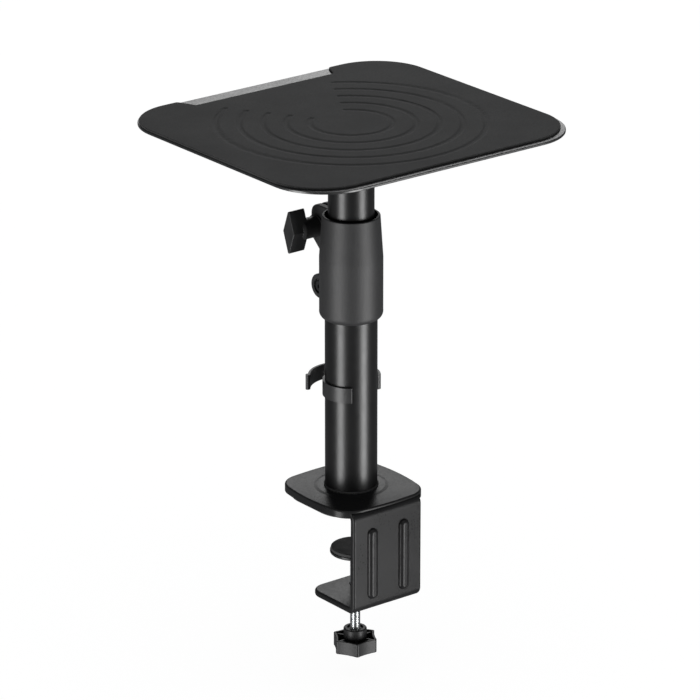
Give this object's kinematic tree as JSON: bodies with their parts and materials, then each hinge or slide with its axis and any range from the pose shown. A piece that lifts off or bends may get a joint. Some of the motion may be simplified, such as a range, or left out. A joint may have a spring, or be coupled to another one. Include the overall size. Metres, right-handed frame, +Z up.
{
  "type": "clamp-on desk stand with padded tray",
  "caption": "Desk-clamp stand with a flat padded tray on a telescoping round pole, a split clamp collar with a wing knob, a cable clip and a C-shaped screw clamp.",
  "frame": {"origin": "on the pole's axis, at the desk surface the base pad rests on", "axes": "+Z up along the pole; the bracket's upright web is on -Y, so the desk edge enters from +Y; the wing knob is on -X"},
  "size_m": [0.2594, 0.2434, 0.4255],
  "materials": {
    "black_paint": "fine satin black powder coat",
    "gloss_black_paint": "smooth semi-gloss black paint",
    "textured_plastic": "spark-textured matte black plastic",
    "black_plastic": "smooth moulded black plastic",
    "bush_plastic": "smooth black acetal",
    "black_rubber": "matte rubber",
    "pad_rubber": "fine-grained soft sheet",
    "zinc_steel": "bright zinc plate",
    "black_oxide_steel": "black oxide",
    "brass_insert": "turned"
  },
  "bodies": {
    "stand": {"base_plate": "black_paint", "base_pad": "black_rubber", "clamp_bracket": "black_paint", "jaw_nut": "zinc_steel", "outer_tube": "gloss_black_paint", "foot_plug": "zinc_steel", "foot_ring": "black_rubber", "foot_screws": "zinc_steel", "base_screws": "zinc_steel", "collar": "textured_plastic", "clamp_liner": "bush_plastic", "clamp_bolt": "black_oxide_steel", "collar_screw": "black_oxide_steel", "collar_nut": "zinc_steel"},
    "clip": {"cable_clip": "black_plastic"},
    "washer": {"knob_washer": "black_plastic"},
    "wing": {"wing_knob": "black_plastic", "knob_insert": "brass_insert"},
    "slider": {"guide_bush": "bush_plastic"},
    "tray": {"inner_tube": "gloss_black_paint", "tray_flange": "black_paint", "tray_plate": "black_paint", "tray_pad": "pad_rubber", "tray_screws": "zinc_steel", "stop_ring": "zinc_steel", "tube_end_cap": "bush_plastic"},
    "disc": {"disc_cup": "black_paint", "disc_pad": "black_rubber", "disc_clip": "zinc_steel"},
    "screw": {"clamp_screw": "zinc_steel", "star_knob": "black_plastic", "star_cap": "black_plastic"}
  },
  "joints": [
    {"name": "tray_height", "type": "slide", "parent": "stand", "child": "slider", "axis": [0, 0, 1], "range_m": [0, 0.125]},
    {"name": "tray_swivel", "type": "hinge", "parent": "slider", "child": "tray", "pos_m": [0, 0, 0.2], "axis": [0, 0, 1], "continuous": true},
    {"name": "clip_slide", "type": "slide", "parent": "stand", "child": "clip", "axis": [0, 0, 1], "range_m": [-0.06, 0.04]},
    {"name": "washer_travel", "type": "slide", "parent": "stand", "child": "washer", "axis": [-1, 0, 0], "range_m": [0, 0.002]},
    {"name": "wing_knob_turn", "type": "hinge", "parent": "washer", "child": "wing", "pos_m": [-0.02, 0.034, 0.209], "axis": [-1, 0, 0], "range_deg": [-2, 722]},
    {"name": "disc_travel", "type": "slide", "parent": "stand", "child": "disc", "axis": [0, 0, 1], "range_m": [-0.018, 0.025]},
    {"name": "screw_turn", "type": "hinge", "parent": "disc", "child": "screw", "pos_m": [0, -0.005, -0.08], "axis": [0, 0, 1], "range_deg": [-5186, 7202]}
  ],
  "couplings": [
    {"joint": "wing_knob_turn", "follows": "washer_travel", "rad_per_m": 6283.2},
    {"joint": "screw_turn", "follows": "disc_travel", "rad_per_m": 5026.5}
  ]
}
